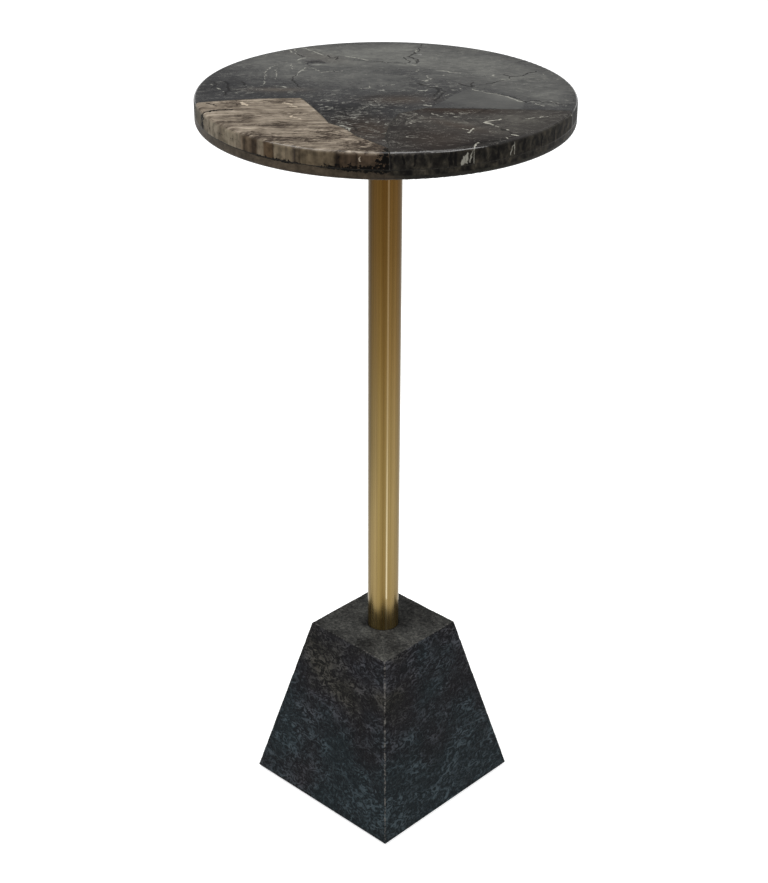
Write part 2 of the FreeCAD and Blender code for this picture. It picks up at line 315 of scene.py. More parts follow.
def piece_of_tree(name, group, sizes):
    """Runs a node tree with its sizes set, and keeps what it makes as a plain piece."""
    piece = bpy.data.objects.new(name, bpy.data.meshes.new(name))
    bpy.context.scene.collection.objects.link(piece)
    modifier = piece.modifiers.new(name, "NODES")
    modifier.node_group = group
    for item in group.interface.items_tree:
        if item.in_out == "INPUT":
            modifier[item.identifier] = sizes[item.name]
    grown = piece.evaluated_get(bpy.context.evaluated_depsgraph_get())
    mesh = bpy.data.meshes.new_from_object(grown)
    piece.modifiers.remove(modifier)
    piece.data = mesh
    return piece


feet_tree, sizes, result = new_tree("feet_under_corners", ["Spread", "Height", "Crown", "Tread", "Bead"])
corners = add(feet_tree, "GeometryNodeMeshGrid", {
    "Size X": sizes["Spread"], "Size Y": sizes["Spread"], "Vertices X": 2, "Vertices Y": 2})
stud = add(feet_tree, "GeometryNodeMeshCone", {
    "Vertices": FOOT_SIDES, "Side Segments": 4, "Fill Segments": 6, "Radius Top": sizes["Crown"],
    "Radius Bottom": sizes["Tread"], "Depth": sizes["Height"]})
tread_ring = add(feet_tree, "GeometryNodeCurvePrimitiveCircle", {
    "Resolution": FOOT_SIDES, "Radius": sizes["Tread"]})
bead_wire = add(feet_tree, "GeometryNodeCurvePrimitiveCircle", {"Resolution": 8, "Radius": sizes["Bead"]})
bead = add(feet_tree, "GeometryNodeCurveToMesh", {"Curve": tread_ring, "Profile Curve": bead_wire})
lift = add(feet_tree, "ShaderNodeCombineXYZ", {"Z": sizes["Bead"]})
bead = add(feet_tree, "GeometryNodeTransform", {"Geometry": bead, "Translation": lift})
foot = add(feet_tree, "GeometryNodeJoinGeometry", {0: stud})
connect(feet_tree, foot, {0: bead})
feet = add(feet_tree, "GeometryNodeInstanceOnPoints", {"Points": corners, "Instance": foot})
feet = add(feet_tree, "GeometryNodeRealizeInstances", {"Geometry": feet})
feet = add(feet_tree, "GeometryNodeSetMaterial", {"Geometry": feet, "Material": moulded_rubber})
connect(feet_tree, result, {"Geometry": feet})
rubber_feet = piece_of_tree("rubber_feet_moulded", feet_tree, {
    "Spread": foot_crown.x - foot_floor.x - 2 * FOOT_RADIUS, "Height": foot_crown.z - foot_floor.z,
    "Crown": FOOT_RADIUS, "Tread": FOOT_RADIUS - FOOT_DRAFT, "Bead": FOOT_BEAD})
stand_in(rubber_feet, "black_rubber", "rubber_feet")

# Clamp: a plated steel stud runs from the pole's plug through the block. A plain washer, a spring washer
# and a nut in the counterbore draw the pole down into its socket.


def dress(node, material):
    """Gives a CAD node, which keeps its shape, its finish."""
    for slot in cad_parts[node].material_slots:
        slot.material = material


# Zinc plate: bright grey with a cloudy spangle and faint yellow passivation.
zinc_plate, tree, shader, place = new_finish("zinc_plated_steel")
spangle = add(tree, "ShaderNodeTexVoronoi", {"Vector": place, "Scale": 1 / (1.5 * MM)})
zinc = add(tree, "ShaderNodeValToRGB", {"Fac": spangle}, stops=[(0.1, "b9b9b4"), (0.8, "a4a396")])
dull = add(tree, "ShaderNodeMapRange", {"Value": spangle, "To Min": 0.28, "To Max": 0.45})
connect(tree, shader, {"Base Color": zinc, "Metallic": 1.0, "Roughness": dull})
for node in ("clamp_stud", "clamp_washer", "spring_washer", "clamp_nut"):
    dress(node, zinc_plate)

# Pole: a drawn brass tube, satin brushed and given an antique finish under lacquer. Drawing leaves faint
# lines along it. A steel plug in its foot takes the stud, and a spigot in its head is brazed to the plate.
LACQUER_HEIGHT = 28.0 * MM
# Painted highlight on the pole: the heights of its foot and head, and how soon it starts; then where painted
# shade starts and is full.
PAINTED_HIGHLIGHT_FOOT = 180.0 * MM
PAINTED_HIGHLIGHT_HEAD = 330.0 * MM
PAINTED_HIGHLIGHT_START = 2.0 * MM
SHADE_FOOT = 230.0 * MM
SHADE_HEAD = 320.0 * MM
pole_foot, pole_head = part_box("pole")

# Antique satin brass: drawing lines along the tube, painted reflection bands lighter and darker all round
# it, painted shade on its left side high up, and a brown tone that deepens towards the head, partly patina
# and partly painted shade under the top, and gathers, as lacquer, at the foot. A painted highlight runs down
# one line of the lower half as bright brass. The drawing lines are coarser than real ones, so that they
# show.
antique_brass, tree, shader, place = new_finish("antique_satin_brass")
turn_share = add(tree, "ShaderNodeTexGradient", {"Vector": place}, gradient_type="RADIAL").outputs["Fac"]
# Painted reflection bands: colour set by the turn round the tube, with a painted highlight near 0.4 and
# darker painted edges.
drawn = add(tree, "ShaderNodeValToRGB", {"Fac": turn_share}, stops=[
    (0.0, "7c6b45"), (1.0, "7c6b45"), (0.05, "88774f"), (0.12, "62542f"), (0.20, "6c5c39"),
    (0.248, "8b7a53"), (0.285, "907e57"), (0.318, "867449"), (0.331, "8a784d"), (0.338, "7f6c42"),
    (0.371, "7a663d"), (0.392, "837047"), (0.402, "9c8c68"), (0.409, "a89774"), (0.415, "89764e"),
    (0.445, "86744c"), (0.475, "8d7b55"), (0.51, "86744e"), (0.55, "75643f"), (0.62, "6a5a37"),
    (0.66, "8d7b55"), (0.70, "796640"), (0.78, "87754d"), (0.83, "998762"), (0.84, "806d44"),
    (0.92, "7a6741")])
around = add(tree, "ShaderNodeMapping", {"Vector": place, "Scale": (1.0, 1.0, 0.004)})
lines = add(tree, "ShaderNodeTexNoise", {
    "Vector": around, "Scale": 1 / (1.3 * MM), "Detail": 4.0, "Roughness": 0.7})
line_tone = add(tree, "ShaderNodeMapRange", {
    "Value": lines, "From Min": 0.3, "From Max": 0.7, "To Min": 0.84, "To Max": 1.14})
lined_with_painted_reflections = add(tree, "ShaderNodeVectorMath", {0: drawn, "Scale": line_tone}, operation="SCALE")
height = add(tree, "ShaderNodeSeparateXYZ", {"Vector": place}).outputs["Z"]
height_share = add(tree, "ShaderNodeMapRange", {
    "Value": height, "From Min": pole_foot.z, "From Max": pole_head.z})
# Darker towards the head: partly patina, and partly painted shade under the top.
patina_and_painted_shade = add(tree, "ShaderNodeValToRGB", {"Fac": height_share}, stops=[
    (0.28, "eeebe3"), (1.0, "947c60"), (0.45, "dfd8cb"), (0.6, "c9bba6"), (0.78, "ad997e")])
aged_and_painted_light = add(tree, "ShaderNodeVectorMath", {0: lined_with_painted_reflections, 1: patina_and_painted_shade}, operation="MULTIPLY")
# Painted shade: the tube's left side, high up, is darkened under the top.
shade = add(tree, "ShaderNodeValToRGB", {"Fac": turn_share}, stops=[
    (0.1, "ffffff"), (0.7, "ffffff"), (0.17, "e4e4e4"), (0.22, "d8d8d8"), (0.285, "e4e4e4"),
    (0.316, "ffffff")])
shade_share = add(tree, "ShaderNodeMapRange", {
    "Value": height, "From Min": SHADE_FOOT, "From Max": SHADE_HEAD})
shaded = add(tree, "ShaderNodeMixRGB", {
    "Fac": shade_share, "Color1": aged_and_painted_light, "Color2": shade}, blend_type="MULTIPLY")
# Painted highlight: a narrow bright line down the front of the tube's lower half, stopping just above the
# block.
rubbed_and_painted_highlight = add(tree, "ShaderNodeValToRGB", {"Fac": turn_share}, stops=[
    (0.394, "000000"), (0.414, "000000"), (0.4, "ffffff"), (0.407, "ffffff")])
painted_highlight_share = add(tree, "ShaderNodeMapRange", {
    "Value": height, "From Min": PAINTED_HIGHLIGHT_FOOT, "From Max": PAINTED_HIGHLIGHT_HEAD, "To Min": 0.4, "To Max": 0.05})
painted_highlight_share = add(tree, "ShaderNodeMapRange", {
    "Value": height, "From Min": PAINTED_HIGHLIGHT_FOOT - PAINTED_HIGHLIGHT_START, "From Max": PAINTED_HIGHLIGHT_FOOT,
    "To Max": painted_highlight_share})
painted_highlight_share = add(tree, "ShaderNodeMath", {0: rubbed_and_painted_highlight, 1: painted_highlight_share}, operation="MULTIPLY")
with_painted_highlight = add(tree, "ShaderNodeMixRGB", {"Fac": painted_highlight_share, "Color1": shaded, "Color2": linear("ebdfc0")})
bare = add(tree, "ShaderNodeMapRange", {
    "Value": height, "From Min": block_crown.z, "From Max": block_crown.z + LACQUER_HEIGHT, "To Min": 0.76,
    "To Max": 1.0})
satin = add(tree, "ShaderNodeMapRange", {"Value": lines, "To Min": 0.2, "To Max": 0.34})
drawn_relief = add(tree, "ShaderNodeBump", {"Height": lines, "Strength": 0.05, "Distance": 0.2 * MM})
connect(tree, shader, {
    "Base Color": with_painted_highlight, "Metallic": bare, "Specular Tint": linear("f4f1ea"), "Roughness": satin,
    "Normal": drawn_relief})
dress("pole", antique_brass)


def turned_metal(name, dark, light, roughness, ring_gap, waver):
    """Bare metal with the fine rings that a lathe tool leaves."""
    finish, tree, shader, place = new_finish(name)
    rings = add(tree, "ShaderNodeTexWave", {
        "Vector": place, "Scale": 1 / ring_gap, "Distortion": waver}, bands_direction="Z").outputs["Fac"]
    metal = add(tree, "ShaderNodeValToRGB", {"Fac": rings}, stops=[(0.2, dark), (0.8, light)])
    connect(tree, shader, {"Base Color": metal, "Metallic": 1.0, "Roughness": roughness})
    return finish


# Turned steel: bare grey with tool rings.
turned_steel = turned_metal(
    "turned_bare_steel", dark="8d8d8c", light="a9a9a7", roughness=0.35, ring_gap=6 * MM, waver=0.4)
for node in ("pole_spigot", "pole_plug"):
    dress(node, turned_steel)

# Mounting plate: a steel disc, powder coated black and brazed on the spigot, held up to the top by
# countersunk screws in brass inserts.

# Powder coat: black with a fine orange-peel skin.
powder_coat, tree, shader, place = new_finish("black_powder_coat")
peel = add(tree, "ShaderNodeTexNoise", {"Vector": place, "Scale": 1 / (1.2 * MM), "Detail": 3.0})
coat = add(tree, "ShaderNodeValToRGB", {"Fac": peel}, stops=[(0.3, "151515"), (0.7, "262625")])
skin = add(tree, "ShaderNodeBump", {"Height": peel, "Strength": 0.35, "Distance": 0.15 * MM})
connect(tree, shader, {"Base Color": coat, "Roughness": 0.48, "Specular IOR Level": 0.3, "Normal": skin})
dress("mounting_plate", powder_coat)
dress("plate_screws", zinc_plate)

# Turned brass: bright yellow with tool rings, for the inserts.
turned_brass = turned_metal(
    "turned_brass", dark="b5924c", light="cfae66", roughness=0.3, ring_gap=5 * MM, waver=0.3)
dress("threaded_inserts", turned_brass)

# Backing disc: a plain disc of darker stone under the slabs, bonded to them with resin and turned to the
# same diameter. Its rim is honed with theirs, and its lower arris is rounded.
FIGURE_TURN = math.radians(43.6)
TOP_RADIUS = 137.5 * MM
SEAM_DEPTH = 3.0 * MM
STAIN_DEPTH = 4.2 * MM
STAIN_EDGE = 1.0 * MM
RIM_TONES = [(0.36, "080706"), (0.7, "443f36"), (0.46, "181613"), (0.57, "2b2822")]
backing_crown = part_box("backing_disc")[1]


def rim_blocks(tree, place):
    """The oiled rim of dark petrified wood: black and brown blocks, a little taller than wide."""
    upright = add(tree, "ShaderNodeMapping", {"Vector": place, "Scale": (1.0, 1.0, 0.8)})
    blocks = add(tree, "ShaderNodeTexNoise", {
        "Vector": upright, "Scale": 1 / (5.5 * MM), "Detail": 5.0, "Roughness": 0.6, "Distortion": 0.3})
    return add(tree, "ShaderNodeValToRGB", {"Fac": blocks}, stops=RIM_TONES)


# Honed backing stone: brown-grey at one side of the table and greenish black at the other, with sandy
# grain. Resin has soaked into its upper edge as a thin black line, and in clumps at the front left. Right of
# the front joint the real slab above is thicker, so here the upper edge of the backing has its colours.
backing_stone, tree, shader, place = new_finish("honed_backing_stone")
turned = add(tree, "ShaderNodeMapping", {"Vector": place, "Rotation": (0.0, 0.0, -FIGURE_TURN)})
sand = add(tree, "ShaderNodeTexNoise", {
    "Vector": turned, "Scale": 1 / (2.6 * MM), "Detail": 5.0, "Roughness": 0.7})
mottle = add(tree, "ShaderNodeTexNoise", {"Vector": turned, "Scale": 1 / (8 * MM), "Detail": 4.0})
side = add(tree, "ShaderNodeSeparateXYZ", {"Vector": turned}).outputs
across = add(tree, "ShaderNodeMapRange", {
    "Value": side["X"], "From Min": -TOP_RADIUS, "From Max": TOP_RADIUS})
stone = add(tree, "ShaderNodeValToRGB", {"Fac": across}, stops=[
    (0.0, "3a352e"), (1.0, "1a1916"), (0.25, "423a30"), (0.45, "393229"), (0.5, "352e26"), (0.55, "22211d"),
    (0.8, "262520"), (0.93, "2c2b28")])
tone = add(tree, "ShaderNodeMath", {0: mottle, 1: sand}, operation="ADD")
tone = add(tree, "ShaderNodeMapRange", {
    "Value": tone, "From Min": 0.7, "From Max": 1.3, "To Min": 0.45, "To Max": 1.55})
backing_tone = add(tree, "ShaderNodeVectorMath", {0: stone, "Scale": tone}, operation="SCALE")
turn_share = add(tree, "ShaderNodeTexGradient", {"Vector": turned}, gradient_type="RADIAL").outputs["Fac"]
reach = add(tree, "ShaderNodeValToRGB", {"Fac": turn_share}, stops=[
    (0.13, "484848"), (0.3, "404040"), (0.145, "909090"), (0.175, "a0a0a0"), (0.185, "303030"),
    (0.195, "606060"), (0.21, "b8b8b8"), (0.225, "f0f0f0"), (0.25, "fafafa"), (0.262, "505050")])
below_seam = add(tree, "ShaderNodeMapRange", {
    "Value": side["Z"], "From Min": backing_crown.z, "From Max": backing_crown.z - SEAM_DEPTH})
ragged_reach = add(tree, "ShaderNodeMapRange", {
    "Value": sand, "From Min": 0.36, "From Max": 0.56, "To Max": reach})
soaked = add(tree, "ShaderNodeMath", {0: ragged_reach, 1: below_seam}, operation="SUBTRACT")
soaked = add(tree, "ShaderNodeMapRange", {"Value": soaked, "From Min": -0.02, "From Max": 0.06})
seamed = add(tree, "ShaderNodeMixRGB", {"Fac": soaked, "Color1": backing_tone, "Color2": linear("030302")})
stain_side = add(tree, "ShaderNodeValToRGB", {"Fac": turn_share}, stops=[
    (0.25, "000000"), (0.256, "ffffff"), (0.46, "ffffff"), (0.58, "000000")])
stain_share = add(tree, "ShaderNodeMapRange", {
    "Value": side["Z"], "From Min": backing_crown.z - STAIN_DEPTH,
    "From Max": backing_crown.z - STAIN_DEPTH + STAIN_EDGE, "To Max": stain_side})
stained = add(tree, "ShaderNodeMixRGB", {
    "Fac": stain_share, "Color1": seamed, "Color2": rim_blocks(tree, place)})
connect(tree, shader, {"Base Color": stained, "Roughness": 0.5, "Specular IOR Level": 0.05})
dress("backing_disc", backing_stone)

# Bedding: black casting resin, poured under the three slabs and into the joints between them. It bonds
# them to the backing disc, and was ground and polished flush with them.

# Casting resin: black and glossy, with brown dust in it.
casting_resin, tree, shader, place = new_finish("black_casting_resin")
dust = add(tree, "ShaderNodeTexNoise", {"Vector": place, "Scale": 1 / (1.5 * MM), "Detail": 4.0})
resin = add(tree, "ShaderNodeValToRGB", {"Fac": dust}, stops=[(0.4, "1a1917"), (0.75, "34312d")])
connect(tree, shader, {"Base Color": resin, "Roughness": 0.3, "Specular IOR Level": 0.05})
dress("bedding_resin", casting_resin)

# Grey slab: the largest of three slabs of petrified wood, sawn, pieced together in one round, and ground
# and polished as one. The figure goes through the stone, so it runs down over the rim. Places on it are
# in millimetres from the middle of the table, across and away from the front, and round the rim in degrees.
SLAB_STEP = 2.4 * MM
RIM_STEP = 1.4 * MM
FINE_STEP = 0.7 * MM
FINE_REACH = 3
FINE_TURNS = 2
FACING_DOWN = -0.5
ARRIS_RADIUS = 3.0
LINE_EDGE = 1.25
CRACK_SPREAD = 1.3
# How far edges are torn, and the size of the tears, first the large ones and then the small ones on them.
PLAN_TEARS = [(1.5, 4.5), (0.7, 1.6)]
RIM_TEARS = [(0.9, 3.0), (0.4, 1.2)]
# Hairlines, by the share of their pattern that they take up, and broken shells of bark: how thick their
# walls are, in millimetres, and how far they are bent.
HAIR_WIDTH = 0.007
SHELL_WALL = 0.36
SHELL_BEND = 0.005
FIGURE_SEED = 3
top_floor, top_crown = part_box("facing_rear")
noise.seed_set(FIGURE_SEED)


def plan_of(places):
    """Places on the plan of the figure."""
    cos, sin = math.cos(FIGURE_TURN), math.sin(FIGURE_TURN)
    found = np.asarray(places) / MM
    return np.stack([cos * found[:, 0] + sin * found[:, 1], cos * found[:, 1] - sin * found[:, 0]], axis=1)


def rim_of(places):
    """Places on the rim laid flat: millimetres round it and below the top."""
    flat = plan_of(places)
    round_rim = np.arctan2(flat[:, 1], flat[:, 0]) * TOP_RADIUS / MM
    return np.stack([round_rim, (np.asarray(places)[:, 2] - top_crown.z) / MM], axis=1)


def on_rim(lines):
    """Lines on the rim, given in degrees, in millimetres round it."""
    arc = math.radians(1) * TOP_RADIUS / MM
    return [(width, [(turn * arc, depth) for turn, depth in line], *share) for width, line, *share in lines]


def ragged(places, tears):
    """Moves places about by smooth random amounts, so that what is drawn on them has broken edges."""
    for reach, size in tears:
        moved = [noise.noise_vector(Vector((x / size, y / size, reach))) for x, y in places]
        places = places + reach * np.array(moved)[:, :2]
    return places


def touched_by(places, lines):
    """How strongly lines touch each place. A line has a width, its points, and a share if it is faint."""
    touched = np.zeros(len(places))
    for width, line, *share in lines:
        near = np.clip(LINE_EDGE - distance_to_line(places, line) / (0.5 * width), 0, 1)
        touched = np.maximum(touched, near * (share[0] if share else 1))
    return touched


def clouds(places, patches):
    """A soft field. Each patch is its middle, its half widths, its turn in degrees and what it adds."""
    field = np.zeros(len(places))
    for x, y, wide, deep, turn, amount in patches:
        cos, sin = math.cos(math.radians(turn)), math.sin(math.radians(turn))
        along = (places - (x, y)) @ (cos, sin) / wide
        off = (places - (x, y)) @ (-sin, cos) / deep
        field += amount * np.exp(-(along ** 2 + off ** 2))
    return field


def inside(places, outline):
    """1 for the places inside a closed outline and 0 for the others."""
    held = np.zeros(len(places), bool)
    for (x0, y0), (x1, y1) in zip(outline, outline[1:] + outline[:1]):
        crossed = (y0 > places[:, 1]) != (y1 > places[:, 1])
        held ^= crossed & (places[:, 0] < x0 + (x1 - x0) * (places[:, 1] - y0) / (y1 - y0 + 1e-9))
    return held.astype(float)


def slab(node, name, material, slot, lines, rim_lines):
    """A slab as a piece, cut finely enough to carry its figure, and finest beside its lines."""
    work = copy_of(node)
    work.normal_update()
    for axis, step in ((2, RIM_STEP), (0, SLAB_STEP), (1, SLAB_STEP)):
        seen = [face for face in work.faces if face.normal.z > FACING_DOWN]
        slice_along(work, axis, step, seen)
    for fine_turn in range(FINE_TURNS):
        bmesh.ops.triangulate(work, faces=work.faces[:])
        work.verts.index_update()
        places = np.array([corner.co for corner in work.verts])
        near = np.zeros(len(places), bool)
        for flat, drawn in ((plan_of(places), lines), (rim_of(places), rim_lines)):
            near |= touched_by(flat, [(width + FINE_REACH, line) for width, line, *share in drawn]) > 0
        near &= places[:, 2] > top_floor.z + TOUCH_REACH
        coarse = [edge for edge in work.edges if near[edge.verts[0].index] and near[edge.verts[1].index]
                  and edge.calc_length() > FINE_STEP]
        bmesh.ops.subdivide_edges(work, edges=coarse, cuts=1)
    bmesh.ops.triangulate(work, faces=work.faces[:])
    piece = piece_from(work, name, material)
    stand_in(piece, slot, node)
    return piece


def figure(piece, pale, dark, rim_pale, rim_dark):
    """Gives a slab its lines, light and dark, and its rim. Returns its points on the plan."""
    found = np.zeros(len(piece.data.vertices) * 3, np.float32)
    piece.data.vertices.foreach_get("co", found)
    places = found.reshape(-1, 3).astype(float)
    plan, rim = plan_of(places), rim_of(places)
    torn = ragged(plan, PLAN_TEARS)
    torn_rim = ragged(rim, RIM_TEARS)
    inset = TOP_RADIUS / MM - np.hypot(plan[:, 0], plan[:, 1])
    at_rim = np.clip(1 - inset, 0, 1)
    carry(piece, "pale", np.maximum(touched_by(torn, pale), at_rim * touched_by(torn_rim, rim_pale)))
    cracks = [(CRACK_SPREAD * width, line, *share) for width, line, *share in dark]
    carry(piece, "dark", np.maximum(touched_by(torn, cracks), at_rim * touched_by(torn_rim, rim_dark)))
    carry(piece, "rim", at_rim)
    on_top = rim[:, 1] > -ARRIS_RADIUS
    carry(piece, "arris", on_top * np.clip(ARRIS_RADIUS - inset, 0, 1) * np.clip(2 * inset - 0.4, 0, 1))
    return plan


def with_lines(tree, ground, carried, kinds, tear, tear_share, edge):
    """Draws the lines that a slab carries over its ground, kind by kind, with edges torn by a pattern."""
    for key, strength, colour in kinds:
        line = add(tree, "ShaderNodeMath", {
            0: tear, 1: tear_share, 2: carried[key]}, operation="MULTIPLY_ADD")
        line = add(tree, "ShaderNodeMapRange", {
            "Value": line, "From Min": edge[0], "From Max": edge[1], "To Max": strength})
        ground = add(tree, "ShaderNodeMixRGB", {"Fac": line, "Color1": ground, "Color2": linear(colour)})
    return ground


def polish(tree, shader, colour, carried, fine, shine):
    """Finishes a slab: glossy on top, duller on the rim, and brightest along its arris."""
    dull = add(tree, "ShaderNodeMapRange", {"Value": fine, "To Min": 0.1, "To Max": 0.24})
    dull = add(tree, "ShaderNodeMath", {0: carried["rim"], 1: 0.5, 2: dull}, operation="MULTIPLY_ADD")
    gloss = add(tree, "ShaderNodeMath", {0: carried["arris"], 1: shine}, operation="MULTIPLY")
    connect(tree, shader, {
        "Base Color": colour, "Roughness": dull, "Specular IOR Level": 0.05, "Coat Weight": gloss,
        "Coat Roughness": 0.03})


def petrified_wood(name, tones, pale, fleck, brown, oiled):
    """Polished petrified wood: a clouded ground, hairlines, broken shells of pale bark, quartz veins and
    black cracks. The slab carries where these lie, and the stone is darker on the rim, which is oiled."""
    finish, tree, shader, place = new_finish(name)
    carried = {key: add(tree, "ShaderNodeAttribute", attribute_name=key).outputs["Fac"]
               for key in ("tone", "pale", "dark", "fleck", "brown", "smooth", "rim", "arris")}
    flat = add(tree, "ShaderNodeMapping", {
        "Vector": place, "Rotation": (0.0, 0.0, -FIGURE_TURN), "Scale": (1.0, 1.0, 0.25)})
    drawn_out = add(tree, "ShaderNodeMapping", {"Vector": flat, "Scale": (0.62, 1.0, 1.0)})
    cloud = add(tree, "ShaderNodeTexNoise", {
        "Vector": drawn_out, "Scale": 1 / (20 * MM), "Detail": 8.0, "Roughness": 0.62, "Distortion": 0.8})
    fine = add(tree, "ShaderNodeTexNoise", {
        "Vector": drawn_out, "Scale": 1 / (3.4 * MM), "Detail": 6.0, "Roughness": 0.7, "Distortion": 0.5})
    rough = add(tree, "ShaderNodeMath", {0: 1.0, 1: carried["smooth"]}, operation="SUBTRACT")
    texture = add(tree, "ShaderNodeMath", {0: cloud, 1: 1.2, 2: fine}, operation="MULTIPLY_ADD")
    texture = add(tree, "ShaderNodeMapRange", {
        "Value": texture, "From Min": 0.7, "From Max": 1.5, "To Min": -0.125, "To Max": 0.125}, clamp=False)
    tone = add(tree, "ShaderNodeMath", {0: texture, 1: rough, 2: carried["tone"]}, operation="MULTIPLY_ADD")
    ground = add(tree, "ShaderNodeValToRGB", {"Fac": tone}, stops=tones)
    warm = add(tree, "ShaderNodeMixRGB", {
        "Fac": carried["brown"], "Color1": ground, "Color2": linear(brown)})
    hair = add(tree, "ShaderNodeTexNoise", {
        "Vector": drawn_out, "Scale": 1 / (15 * MM), "Detail": 5.0, "Roughness": 0.55,
        "Distortion": 0.8}).outputs["Color"]
    hair = add(tree, "ShaderNodeSeparateColor", {"Color": hair}).outputs
    for channel, share, colour in (("Red", 0.34, "131312"), ("Green", 0.3, fleck), ("Blue", 0.22, fleck)):
        off = add(tree, "ShaderNodeMath", {0: hair[channel], 1: 0.5, 2: HAIR_WIDTH}, operation="COMPARE")
        broken = add(tree, "ShaderNodeMapRange", {
            "Value": fine, "From Min": 0.42, "From Max": 0.6, "To Max": 1.0})
        for part in (share, broken, rough):
            off = add(tree, "ShaderNodeMath", {0: off, 1: part}, operation="MULTIPLY")
        warm = add(tree, "ShaderNodeMixRGB", {"Fac": off, "Color1": warm, "Color2": linear(colour)})
    bent = add(tree, "ShaderNodeTexNoise", {"Vector": flat, "Scale": 1 / (6 * MM), "Detail": 2.0})
    bent = add(tree, "ShaderNodeMixRGB", {
        "Fac": SHELL_BEND, "Color1": drawn_out, "Color2": bent.outputs["Color"]})
    for size, strength in ((7.5, 0.8), (4.8, 0.55), (3.2, 0.4)):
        cells = add(tree, "ShaderNodeTexVoronoi", {
            "Vector": bent, "Scale": 1 / (size * MM)}, voronoi_dimensions="2D").outputs
        chance = add(tree, "ShaderNodeSeparateColor", {"Color": cells["Color"]}).outputs
        pick = add(tree, "ShaderNodeMath", {0: chance["Red"], 1: carried["fleck"]}, operation="MULTIPLY")
        pick = add(tree, "ShaderNodeMapRange", {"Value": pick, "From Min": 0.36, "From Max": 0.7})
        radius = add(tree, "ShaderNodeMapRange", {"Value": chance["Blue"], "To Min": 0.16, "To Max": 0.4})
        shell = add(tree, "ShaderNodeMath", {
            0: cells["Distance"], 1: radius, 2: SHELL_WALL / size + 0.01}, operation="COMPARE")
        away = add(tree, "ShaderNodeVectorMath", {0: bent, 1: cells["Position"]}, operation="SUBTRACT")
        toward = add(tree, "ShaderNodeVectorMath", {
            0: cells["Color"], 1: (0.5, 0.5, 0.5)}, operation="SUBTRACT")
        half = add(tree, "ShaderNodeVectorMath", {
            0: away, 1: toward}, operation="DOT_PRODUCT").outputs["Value"]
        half = add(tree, "ShaderNodeMath", {0: half, 1: 0.0}, operation="GREATER_THAN")
        broken = add(tree, "ShaderNodeMapRange", {
            "Value": fine, "From Min": 0.4, "From Max": 0.6, "To Max": strength})
        for part in (pick, half, broken):
            shell = add(tree, "ShaderNodeMath", {0: shell, 1: part}, operation="MULTIPLY")
        warm = add(tree, "ShaderNodeMixRGB", {"Fac": shell, "Color1": warm, "Color2": linear(fleck)})
    rim_share = add(tree, "ShaderNodeMath", {0: carried["rim"], 1: oiled}, operation="MULTIPLY")
    warm = add(tree, "ShaderNodeMixRGB", {
        "Fac": rim_share, "Color1": warm, "Color2": rim_blocks(tree, place)})
    black = add(tree, "ShaderNodeMapRange", {"Value": carried["rim"], "To Min": 0.66, "To Max": 0.95})
    kinds = [("dark", black, "080707"), ("pale", 0.66, pale)]
    warm = with_lines(tree, warm, carried, kinds, fine, tear_share=2.0, edge=(1.55, 1.85))
    polish(tree, shader, warm, carried, fine, shine=0.6)
    return finish


# Veins of quartz and bark: at the rear left, two pairs of hairlines on the left, at the rear, on the right,
# along the lens and beside it, in the middle, at the left edge, and in the wedge beside the buff slab.
GREY_PALE = [
    (1.2, [(-75, 111), (-72, 102)]), (1.2, [(-71, 111), (-69, 98)]),
    (1.8, [(-65, 116), (-60, 111), (-48, 96)]), (1.5, [(-31, 94), (-24, 89), (-14, 82)]),
    (2.2, [(-61, 87), (-65, 85), (-67, 82)]),
    (1.1, [(-80, 69), (-86, 62), (-89, 52), (-89, 24), (-88, 17)]),
    (1.0, [(-81, 60), (-81, 43), (-80, 28)]), (1.0, [(-71, 71), (-70, 57)]),
    (1.3, [(-61, 61), (-62, 55), (-65, 49), (-66, 40)]), (1.1, [(-61, 60), (-54, 59), (-50, 51)]),
    (1.1, [(-48, 49), (-36, 50), (-32, 54)]), (1.5, [(22, 115), (24, 104)]), (2.2, [(17, 70), (22, 69)]),
    (1.5, [(24, 56), (24, 52)]), (1.8, [(38, 54), (44, 53), (48, 50), (56, 48)]),
    (1.3, [(30, 43), (31, 36), (33, 32), (29, 27), (25, 28)]), (1.2, [(43, 44), (43, 41)]),
    (1.5, [(73, 42), (74, 39)]), (1.5, [(79, 44), (79, 42)]), (2.0, [(85, 33), (90, 33)]),
    (1.5, [(116, 48), (117, 45)]), (1.8, [(123, 35), (126, 33)]),
    (1.1, [(62, 7), (72, -1), (77, -4), (86, -10)]), (1.6, [(86, -10), (92, -19), (97, -24)]),
    (2.2, [(85, -11), (89, -14)]), (2.3, [(27, -32), (30, -34), (32, -32)]), (1.9, [(25, -21), (27, -23)]),
    (1.9, [(48, 6), (51, 5)]), (1.9, [(53, 9), (54, 7)]), (1.7, [(43, -10), (45, -7)]),
    (1.8, [(105, -27), (110, -33)]), (1.7, [(-7, 4), (-2, 3)]), (1.3, [(-21, 7), (-13, 8), (-12, 15)]),
    (1.3, [(-4, 14), (6, 17)]), (1.5, [(24, 2), (30, 3)]), (1.7, [(-121, 7), (-119, 4)]),
    (1.7, [(-117, -2), (-116, -3)]), (1.5, [(-128, 17), (-126, 14)]), (1.5, [(-74, 11), (-72, 9)]),
    (1.9, [(-31, -80), (-28, -82)]), (1.9, [(-27, -82), (-24, -88), (-24, -92)]),
    (1.9, [(-2, -112), (0, -114)]), (1.7, [(0, -95), (2, -97)]), (1.6, [(103, -24), (108, -26)], 0.85),
    (1.6, [(114, -29), (121, -32)], 0.85), (1.4, [(112, -20), (118, -22)], 0.8)]
